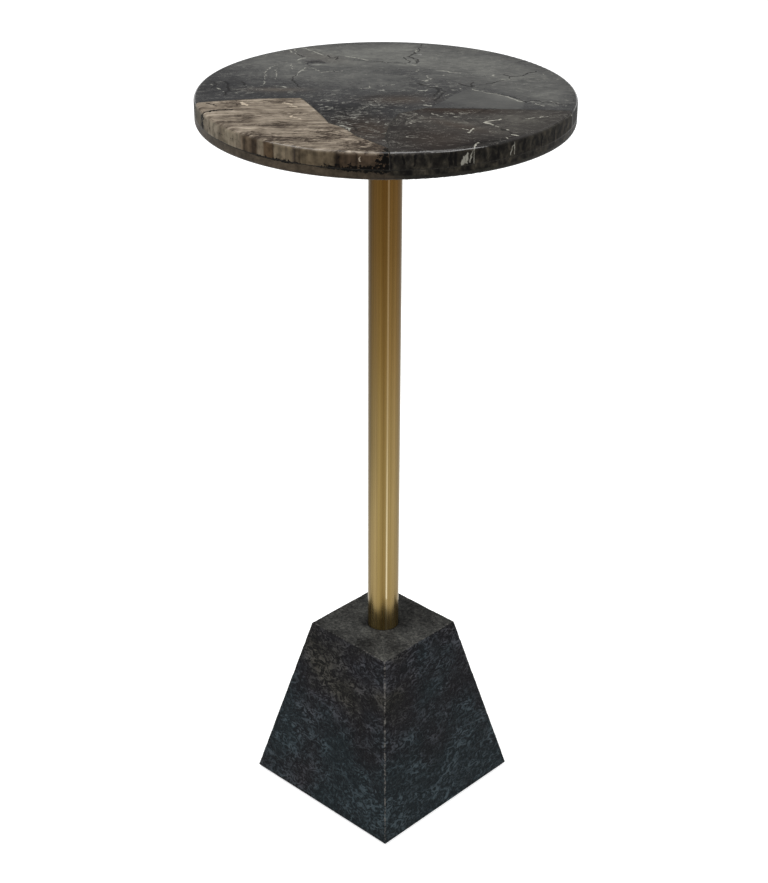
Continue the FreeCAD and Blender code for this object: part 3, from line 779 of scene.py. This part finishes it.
# Cracks: down the rear left, round the pebble, across the rear, the long one at the rear, the forked one at
# the right, those round the lens, at the left edge, and along the buff slab.
GREY_DARK = [
    (2.2, [(-69, 100), (-66, 94), (-63, 92)]), (1.6, [(-67, 42), (-69, 31), (-65, 19), (-62, 9)]),
    (2.0, [(-44, 95), (-42, 88), (-36, 92), (-38, 83)]), (1.5, [(-24, 82), (0, 77), (16, 73)]),
    (1.4, [(27, 129), (26, 117), (25, 105)]),
    (2.6, [(22, 105), (21, 99), (17, 93), (20, 88), (24, 84), (24, 74)]), (2.0, [(14, 90), (18, 76)]),
    (2.4, [(111, 53), (106, 49), (102, 43), (92, 40), (87, 44)]),
    (1.7, [(92, 40), (90, 33), (81, 26), (73, 20)]), (2.4, [(64, 24), (61, 18), (63, 12)]),
    (2.2, [(53, 20), (59, 14), (64, 15)]), (2.8, [(24, 21), (30, 13), (37, 9), (38, 0), (35, -10)]),
    (2.2, [(39, 9), (42, 0), (35, -22)]), (1.8, [(75, -3), (84, -7), (92, -13), (97, -22), (99, -25)]),
    (1.6, [(-129, 26), (-123, 17), (-125, 7)]), (2.4, [(-117, 24), (-114, 13), (-113, 0), (-115, -10)]),
    (2.2, [(-105, 24), (-102, 14)]), (1.6, [(-74, 19), (-67, 17)]),
    (2.0, [(-33, -79), (-24, -74), (-14, -72)]), (2.6, [(-22, -82), (-19, -93), (-9, -98), (2, -100)]),
    (2.0, [(-5, -110), (0, -107), (4, -122)]),
    (1.8, [(99, -22), (106, -20), (112, -24), (117, -25), (123, -29), (130, -29)])]
# Where the ground is lighter or darker, where there are many shells of bark, and where it is browner.
GREY_TONES = [
    # The first patch, lighter at the rear, is partly the stone's tone and partly a painted reflection of the
    # bright room.
    (0, 95, 95, 42, 0, 0.25), (85, 45, 55, 38, -20, 0.24), (-85, 62, 45, 45, 0, 0.13),
    (-25, 35, 50, 34, 0, 0.16), (-105, 5, 28, 16, 0, -0.04), (112, -5, 30, 22, 0, 0.16),
    (-10, -25, 60, 30, 0, -0.08), (-30, -70, 30, 45, 35, -0.12), (-10, -92, 22, 30, 25, -0.05),
    (28, 12, 16, 22, 20, -0.05), (-78, 3, 18, 4, 0, 0.18), (-53, 75, 8, 6, 0, -0.38),
    (-52, 70, 5, 3, 0, 0.36), (10, 118, 70, 11, 0, 0.08), (-20, 54, 90, 12, 0, -0.07),
    (20, 5, 55, 13, 0, 0.1), (-40, -18, 25, 14, 0, 0.09), (28, -22, 22, 12, 0, 0.08),
    (-20, -72, 22, 26, 30, -0.05), (114, -31, 18, 18, 0, 0.07)]
GREY_FLECKS = [
    (-30, -30, 55, 32, 0, 0.75), (-25, -75, 30, 40, 30, 0.75), (35, 15, 25, 30, 0, 0.5),
    (-90, 5, 40, 14, 0, 0.6), (112, -25, 20, 9, -10, 1.0), (-40, 80, 25, 16, -20, 0.4),
    (-8, -92, 22, 30, 25, 0.5)]
GREY_BROWN = [
    (-10, -92, 22, 30, 25, 0.5), (10, -20, 22, 10, 0, 0.5), (-78, 3, 20, 5, 0, 0.5),
    (-50, 90, 25, 10, -40, 0.2)]
# The lens: a smooth grey patch at the right, with an outline of its own.
LENS = [
    (62, 7), (55, 3), (48, -7), (41, -22), (33, -36), (34, -39), (95, -41), (98, -25), (92, -16), (84, -8),
    (72, 0)]
LENS_TONES = [(65, -20, 80, 60, 0, 0.16), (85, -12, 22, 8, -35, 0.1), (40, -32, 14, 10, 0, -0.06)]
LENS_TEARS = [(0.6, 4.0)]
LENS_SMOOTH = 0.6
GREY_TONE = 0.48
GREY_FLECK = 0.2
BROWN_MOST = 0.8
# A pebble in the stone, with a dark ring round it.
PEBBLE = (-53, 71)
PEBBLE_RADII = (6, 7)
PEBBLE_SIDES = 16
PEBBLE_LINE = 3.0
PEBBLE_SHARE = 0.78

# Polished grey petrified wood: dark to middle greys, with pale grey bark and a few brown patches.
GREY_RAMP = [
    (0.25, "121213"), (1.0, "72726d"), (0.4, "212122"), (0.55, "323232"), (0.7, "474745"), (0.85, "5c5c58")]
grey_wood = petrified_wood(
    "polished_grey_petrified_wood", GREY_RAMP, pale="86857d", fleck="72716b", brown="3a3129", oiled=0.35)
grey_slab = slab("facing_rear", "slab_grey", grey_wood, "grey_stone", GREY_PALE + GREY_DARK, [])
pebble_ring = [(PEBBLE[0] + PEBBLE_RADII[0] * math.cos(turn), PEBBLE[1] + PEBBLE_RADII[1] * math.sin(turn))
               for turn in np.linspace(0, math.tau, PEBBLE_SIDES + 1)]
plan = figure(grey_slab, GREY_PALE, GREY_DARK + [(PEBBLE_LINE, pebble_ring, PEBBLE_SHARE)], [], [])
in_lens = inside(ragged(plan, LENS_TEARS), LENS)
grey_tone = np.where(in_lens > 0.5, clouds(plan, LENS_TONES), clouds(plan, GREY_TONES))
carry(grey_slab, "tone", GREY_TONE + grey_tone)
carry(grey_slab, "fleck", np.clip(GREY_FLECK + clouds(plan, GREY_FLECKS), 0, 1) * (1 - in_lens))
carry(grey_slab, "brown", np.clip(clouds(plan, GREY_BROWN), 0, BROWN_MOST) * (1 - in_lens))
carry(grey_slab, "smooth", LENS_SMOOTH * in_lens)

# Brown slab: a nearly black piece with brown bands, laid at the front right. Veins of white quartz cross
# it and stand like flames in its rim.
BROWN_PALE = [
    (2.4, [(79, -64), (73, -67), (69, -69), (68, -72), (72, -77)]), (1.7, [(74, -80), (76, -82)]),
    (2.4, [(52, -86), (55, -88)]), (2.3, [(59, -86), (57, -91), (55, -94)]),
    (1.3, [(97, -64), (103, -60), (112, -57)]), (1.5, [(61, -116), (59, -119), (58, -125)]),
    (2.1, [(85, -98), (88, -101)]), (1.5, [(81, -87), (83, -89)]), (1.5, [(80, -104), (81, -106)]),
    (1.7, [(24, -57), (27, -60)], 0.8), (1.8, [(31, -53), (35, -55)], 0.8),
    (1.8, [(35, -57), (38, -59)], 0.8), (1.7, [(45, -59), (49, -60)], 0.8),
    (1.4, [(39, -51), (48, -54)], 0.8), (1.9, [(0, -49), (2, -51)]), (1.7, [(7, -53), (8, -54)]),
    (1.9, [(16, -73), (17, -75)]), (1.5, [(14, -64), (17, -64)])]
BROWN_DARK = [
    (2.4, [(50, -122), (62, -115), (78, -109)]), (1.8, [(72, -40), (64, -50)]),
    (2.0, [(76, -82), (86, -97)])]
BROWN_RIM_PALE = [
    (3.4, [(-68.5, -11), (-67.9, -6)], 0.9), (3.0, [(-67.5, -11), (-67.0, -4.5)], 0.88),
    (1.7, [(-66.3, -11), (-65.2, -1)], 0.9), (1.5, [(-51.2, 0), (-51.4, -11)], 0.85),
    (1.6, [(-52.8, -11), (-52.2, -5), (-51.4, -4)], 0.8), (2.2, [(-20, -2), (-19.6, -2.5)])]
BROWN_RIM_DARK = [
    (4.0, [(-72, -2), (-72, -11)]), (3.4, [(-70.6, -1), (-70.4, -11)]), (4.6, [(-47.5, -2), (-48, -9)]),
    (2.6, [(-40, -3), (-40, -11)]), (2.4, [(-82, -2), (-82, -9)]), (2.6, [(-57, -4), (-57, -11)]),
    (2.2, [(-85.5, -2), (-85, -8)]), (2.4, [(-33, -3), (-33, -11)]), (4.0, [(-88, -11.8), (-76, -12)], 0.6),
    (3.6, [(-88.9, 0), (-88.7, -6), (-88.4, -11)]), (8.0, [(-88.8, -1), (-88.4, -11)], 0.72)]
BROWN_TONE = 0.46
BROWN_FLECK = 0.15
BROWN_TONES = [
    (45, -85, 30, 30, 0, 0.04), (95, -75, 35, 25, 30, 0.16), (45, -46, 45, 7, -4, -0.1),
    (70, -115, 40, 10, 25, -0.15), (50, -75, 25, 6, -35, 0.12), (42, -72, 26, 15, -20, 0.11),
    (85, -50, 38, 14, 0, 0.08)]
BROWN_FLECKS = [(35, -58, 32, 12, 0, 0.9), (12, -90, 14, 40, 0, 0.8), (85, -60, 40, 20, 0, 0.3)]
BROWN_BROWN = [(34, -108, 24, 26, 0, 0.4), (50, -44, 35, 8, -4, 0.6), (48, -78, 25, 6, -35, 0.5)]

# Polished brown petrified wood: nearly black, with white quartz, brown bands and an oiled rim.
BROWN_RAMP = [
    (0.25, "0f0e0d"), (1.0, "6a6762"), (0.4, "1c1a19"), (0.55, "2c2a28"), (0.7, "403e3a"), (0.85, "55524d")]
brown_wood = petrified_wood(
    "polished_brown_petrified_wood", BROWN_RAMP, pale="99978d", fleck="74726b", brown="2a211b", oiled=0.85)
brown_slab = slab("facing_front", "slab_brown", brown_wood, "brown_stone", BROWN_PALE + BROWN_DARK,
                  on_rim(BROWN_RIM_PALE + BROWN_RIM_DARK))
plan = figure(brown_slab, BROWN_PALE, BROWN_DARK, on_rim(BROWN_RIM_PALE), on_rim(BROWN_RIM_DARK))
carry(brown_slab, "tone", BROWN_TONE + clouds(plan, BROWN_TONES))
carry(brown_slab, "fleck", np.clip(BROWN_FLECK + clouds(plan, BROWN_FLECKS), 0, 1))
carry(brown_slab, "brown", np.clip(clouds(plan, BROWN_BROWN), 0, BROWN_MOST))
carry(brown_slab, "smooth", np.zeros(len(plan)))

# Buff slab: a cream and tan piece at the front left, cut along the old trunk, so that wavy brown grain runs
# across it. On the rim the grain stands upright in bars, over a ragged black line of resin.
BUFF_PALE = [
    (3.0, [(-101, -28), (-98, -36)]), (2.4, [(-66, -60), (-58, -66)]), (3.0, [(-72, -29), (-66, -31)]),
    (3.0, [(-66, -37), (-62, -39)])]
BUFF_DARK = [
    (2.6, [(-127, -52), (-117, -47), (-108, -45)]),
    (2.2, [(-31, -134), (-24, -122), (-14, -115), (-7, -110)], 0.5), (2.2, [(-118, -36), (-126, -30)]),
    (5.0, [(0, -137.5), (0, -130)], 0.9)]
BUFF_RIM_PALE = [(1.4, [(-97, -3), (-97, -6)])]
BUFF_RIM_DARK = [
    (9.0, [(-157.6, 0), (-157.4, -11)], 0.9), (5.0, [(-166, -1), (-165, -9)], 0.85),
    (5.0, [(-172, -2), (-171, -11)], 0.8), (3.4, [(-103.2, -1), (-103.3, -11)], 0.55),
    (4.4, [(-89.8, 0), (-90.6, -6), (-89.8, -11)]), (12.0, [(-90.6, -1), (-91.4, -6), (-90.8, -11)], 0.76),
    (3.2, [(-127, -12), (-114, -12)], 0.8), (6.0, [(-107, -12), (-97, -12)], 0.84),
    (10.0, [(-100, -12.4), (-89, -12)], 0.86), (2.4, [(-150, -12), (-127, -12)], 0.55),
    (1.6, [(-154, -7.5), (-146, -6.5), (-136, -6)], 0.5)]
BUFF_SMUDGES = [
    (-106, -34, 9, 9, 0, 0.5), (-57, -54, 14, 5, -5, 0.55), (-84, -100, 12, 5, -10, 0.6),
    (-50, -112, 35, 6, -8, 0.7), (-10, -126, 17, 12, 0, 1.7), (-70, -81, 30, 5, 0, 0.4),
    (-95, -60, 26, 5, 4, 0.35), (-40, -92, 20, 5, -4, 0.35), (-92, -102, 6, 6, 0, 0.5),
    (-60, -124, 5, 8, 0, 0.5), (-36, -99, 15, 9, -10, 0.9), (-90, -27, 26, 4, 2, 0.6)]
SMUDGE_SHARE = 0.38
SMUDGE_TEARS = [(5.0, 9.0)]
# The upright bars on the rim, each by its place in degrees and its colour. They waver by a share of a turn.
BAR_WAVER = 0.004
BARS_FROM = -160.0
BARS_TO = -88.0
BUFF_BARS = [
    (-159, "4c473e"), (-88.5, "2c231b"), (-154, "6f675a"), (-147, "726a5d"), (-144.6, "5a5145"),
    (-142, "6c6456"), (-136, "6e6557"), (-134.4, "584d40"), (-133.5, "2f271f"), (-132.4, "574b3d"),
    (-131.2, "4a3f33"), (-130.4, "2f271f"), (-128.8, "332a21"), (-128, "6a6052"), (-126.6, "695f50"),
    (-126, "493c2e"), (-123.4, "453829"), (-122.7, "2a2119"), (-122, "655b4c"), (-117, "5d5344"),
    (-115.9, "38302a"), (-115.2, "544a3c"), (-114.2, "352d24"), (-113.6, "544a3b"), (-104.6, "4e4436"),
    (-103.6, "1a130d"), (-102.8, "1c150f"), (-102, "33291f"), (-98.6, "3b3026"), (-98, "231b14"),
    (-97.4, "493c30"), (-93, "473b2f")]

# Polished buff petrified wood: tan bands with fine brown grain and darker smudges, glossy as the rest.
buff_wood, tree, shader, place = new_finish("polished_buff_petrified_wood")
carried = {key: add(tree, "ShaderNodeAttribute", attribute_name=key).outputs["Fac"]
           for key in ("pale", "dark", "smudge", "rim", "arris")}
along = add(tree, "ShaderNodeMapping", {
    "Vector": place, "Rotation": (0.0, 0.0, FIGURE_TURN), "Scale": (9.0, 1.0, 18.0)}, vector_type="TEXTURE")
grain = add(tree, "ShaderNodeTexNoise", {
    "Vector": along, "Scale": 1 / (5 * MM), "Detail": 7.0, "Roughness": 0.7, "Distortion": 0.9})
flat = add(tree, "ShaderNodeMapping", {
    "Vector": place, "Rotation": (0.0, 0.0, -FIGURE_TURN), "Scale": (1.0, 1.0, 0.12)})
fine = add(tree, "ShaderNodeTexNoise", {
    "Vector": flat, "Scale": 1 / (4.5 * MM), "Detail": 6.0, "Roughness": 0.7})
cloud = add(tree, "ShaderNodeTexNoise", {"Vector": flat, "Scale": 1 / (20 * MM), "Detail": 3.0})
scratch = add(tree, "ShaderNodeMapping", {
    "Vector": place, "Rotation": (0.0, 0.0, FIGURE_TURN), "Scale": (2.6, 1.0, 18.0)}, vector_type="TEXTURE")
scratch = add(tree, "ShaderNodeTexNoise", {
    "Vector": scratch, "Scale": 1 / (2.6 * MM), "Detail": 5.0, "Roughness": 0.7, "Distortion": 1.4})
tone = add(tree, "ShaderNodeMath", {0: grain, 1: 2.4, 2: cloud}, operation="MULTIPLY_ADD")
tone = add(tree, "ShaderNodeMath", {0: scratch, 1: 1.1, 2: tone}, operation="MULTIPLY_ADD")
tone = add(tree, "ShaderNodeMapRange", {"Value": tone, "From Min": 1.7, "From Max": 2.85})
smudged = add(tree, "ShaderNodeMapRange", {
    "Value": scratch, "From Min": 0.4, "From Max": 0.62, "To Min": 1.8, "To Max": 0.15})
smudged = add(tree, "ShaderNodeMath", {0: smudged, 1: carried["smudge"]}, operation="MULTIPLY")
tone = add(tree, "ShaderNodeMath", {0: tone, 1: smudged}, operation="SUBTRACT")
buff = add(tree, "ShaderNodeValToRGB", {"Fac": tone}, stops=[
    (0.05, "2c251f"), (0.95, "94897a"), (0.25, "4a4239"), (0.5, "675e53"), (0.7, "7a7165")])
crumb = add(tree, "ShaderNodeTexNoise", {"Vector": place, "Scale": 1 / (1.8 * MM), "Detail": 4.0})
turned = add(tree, "ShaderNodeMapping", {"Vector": place, "Rotation": (0.0, 0.0, -FIGURE_TURN)})
bar_ends = [(turn + 180) / 360 + BAR_WAVER / 2 for turn in (BARS_FROM, BARS_TO)]
bar_place = add(tree, "ShaderNodeTexGradient", {"Vector": turned}, gradient_type="RADIAL").outputs["Fac"]
bar_place = add(tree, "ShaderNodeMath", {0: fine, 1: BAR_WAVER, 2: bar_place}, operation="MULTIPLY_ADD")
bar_place = add(tree, "ShaderNodeMapRange", {
    "Value": bar_place, "From Min": bar_ends[0], "From Max": bar_ends[1]})
bar_stops = [((turn - BARS_FROM) / (BARS_TO - BARS_FROM), colour) for turn, colour in BUFF_BARS]
bars = add(tree, "ShaderNodeValToRGB", {"Fac": bar_place}, stops=bar_stops)
bar_grain = add(tree, "ShaderNodeMapRange", {
    "Value": fine, "From Min": 0.3, "From Max": 0.7, "To Min": 0.62, "To Max": 1.3})
patchy = add(tree, "ShaderNodeTexNoise", {"Vector": place, "Scale": 1 / (5 * MM), "Detail": 3.0})
patchy = add(tree, "ShaderNodeMapRange", {
    "Value": patchy, "From Min": 0.36, "From Max": 0.6, "To Min": 0.6, "To Max": 1.15})
bar_grain = add(tree, "ShaderNodeMath", {0: bar_grain, 1: patchy}, operation="MULTIPLY")
bars = add(tree, "ShaderNodeVectorMath", {0: bars, "Scale": bar_grain}, operation="SCALE")
buff = add(tree, "ShaderNodeMixRGB", {"Fac": carried["rim"], "Color1": buff, "Color2": bars})
kinds = [("pale", 0.6, "a89c8a"), ("dark", 1.0, "040302")]
buff = with_lines(tree, buff, carried, kinds, crumb, tear_share=2.2, edge=(1.7, 1.8))
polish(tree, shader, buff, carried, fine, shine=0.2)
buff_slab = slab("facing_buff", "slab_buff", buff_wood, "buff_stone", BUFF_PALE + BUFF_DARK,
                 on_rim(BUFF_RIM_PALE + BUFF_RIM_DARK))
plan = figure(buff_slab, BUFF_PALE, BUFF_DARK, on_rim(BUFF_RIM_PALE), on_rim(BUFF_RIM_DARK))
carry(buff_slab, "smudge", SMUDGE_SHARE * clouds(ragged(plan, SMUDGE_TEARS), BUFF_SMUDGES))

# Studio: a pale floor, soft light from overhead boxes and a dim room that is white at its horizon.
FLOOR_SIZE = 30.0
GLOW_FROM = 0.9
GLOW_FULL = 3.2
LAMP_AIM = Vector((0, 0, 0.35))
half = FLOOR_SIZE / 2
floor_mesh = bpy.data.meshes.new("studio_floor")
floor_corners = [(-half, -half, 0), (half, -half, 0), (half, half, 0), (-half, half, 0)]
floor_mesh.from_pydata(floor_corners, [], [(0, 1, 2, 3)])
floor = bpy.data.objects.new("studio_floor", floor_mesh)
bpy.context.scene.collection.objects.link(floor)

# Painted floor: off-white and matt. Seen directly or mirrored it is white, also far from the lamps, and it
# keeps the table's shadow.
painted_floor, tree, shader, place = new_finish("painted_studio_floor")
paint = add(tree, "ShaderNodeTexNoise", {"Vector": place, "Scale": 1 / (250 * MM), "Detail": 3.0})
paint = add(tree, "ShaderNodeValToRGB", {"Fac": paint}, stops=[(0.3, "c8c8c8"), (0.7, "cacaca")])
ray = add(tree, "ShaderNodeLightPath").outputs
seen = ray["Is Camera Ray"]
for kind in ("Is Glossy Ray", "Is Transmission Ray"):
    seen = add(tree, "ShaderNodeMath", {0: seen, 1: ray[kind]}, operation="MAXIMUM")
far = add(tree, "ShaderNodeVectorMath", {0: place}, operation="LENGTH").outputs["Value"]
far = add(tree, "ShaderNodeMapRange", {
    "Value": far, "From Min": GLOW_FROM, "From Max": GLOW_FULL, "To Min": 0.65, "To Max": 1.0})
glow = add(tree, "ShaderNodeMath", {0: seen, 1: far}, operation="MULTIPLY")
connect(tree, shader, {
    "Base Color": paint, "Roughness": 0.9, "Specular IOR Level": 0.0, "Emission Strength": glow,
    "Emission Color": (1.0, 1.0, 1.0, 1.0)})
floor_mesh.materials.append(painted_floor)

world = bpy.data.worlds.new("studio_room")
bpy.context.scene.world = world
world.use_nodes = True
tree = world.node_tree
way = add(tree, "ShaderNodeTexCoord").outputs["Generated"]
rise = add(tree, "ShaderNodeSeparateXYZ", {"Vector": way}).outputs["Z"]
rise = add(tree, "ShaderNodeMapRange", {"Value": rise, "From Min": -0.1, "From Max": 1.0})
room = add(tree, "ShaderNodeValToRGB", {"Fac": rise}, stops=[
    (0.125, "ffffff"), (1.0, "d8d8d8"), (0.155, "a0a0a0"), (0.22, "6c6c6c"), (0.45, "707070")])
connect(tree, tree.nodes["Background"], {"Color": room, "Strength": 1.0})


def soft_box(name, place, size, power):
    """A square soft box that faces the middle of the table."""
    lamp = bpy.data.lights.new(name, "AREA")
    lamp.shape = "SQUARE"
    lamp.size = size
    lamp.energy = power
    box = bpy.data.objects.new(name, lamp)
    box.location = place
    box.rotation_euler = (LAMP_AIM - Vector(place)).to_track_quat("-Z", "Y").to_euler()
    bpy.context.scene.collection.objects.link(box)


soft_box("soft_box_left", place=(-0.55, -1.3, 2.1), size=0.9, power=36.0)
soft_box("soft_box_right", place=(1.5, 0.15, 2.1), size=0.9, power=30.0)
soft_box("soft_box_over", place=(0.0, 0.0, 2.4), size=1.2, power=26.0)

# Camera: it stands in front of one corner of the block, above the top, and looks down at the table.
CAMERA_AZIMUTH = math.radians(43.58)
CAMERA_REACH = 1.2588
CAMERA_HEIGHT = 0.9730
CAMERA_PITCH = 0.4798
CAMERA_ROLL = 0.0053
FOCAL_PIXELS = 1796.11
FRAME_HEIGHT = 883
camera_data = bpy.data.cameras.new("studio_camera")
camera_data.sensor_width = 36.0
camera_data.lens = camera_data.sensor_width * FOCAL_PIXELS / FRAME_HEIGHT
camera = bpy.data.objects.new("studio_camera", camera_data)
facing = Matrix.Rotation(CAMERA_AZIMUTH, 4, "Z")
tilt = Matrix.Rotation(math.pi / 2 - CAMERA_PITCH, 4, "X") @ Matrix.Rotation(CAMERA_ROLL, 4, "Z")
camera.matrix_world = facing @ Matrix.Translation((0.0, -CAMERA_REACH, CAMERA_HEIGHT)) @ tilt
bpy.context.scene.collection.objects.link(camera)
bpy.context.scene.camera = camera
bpy.context.scene.view_settings.view_transform = "Standard"
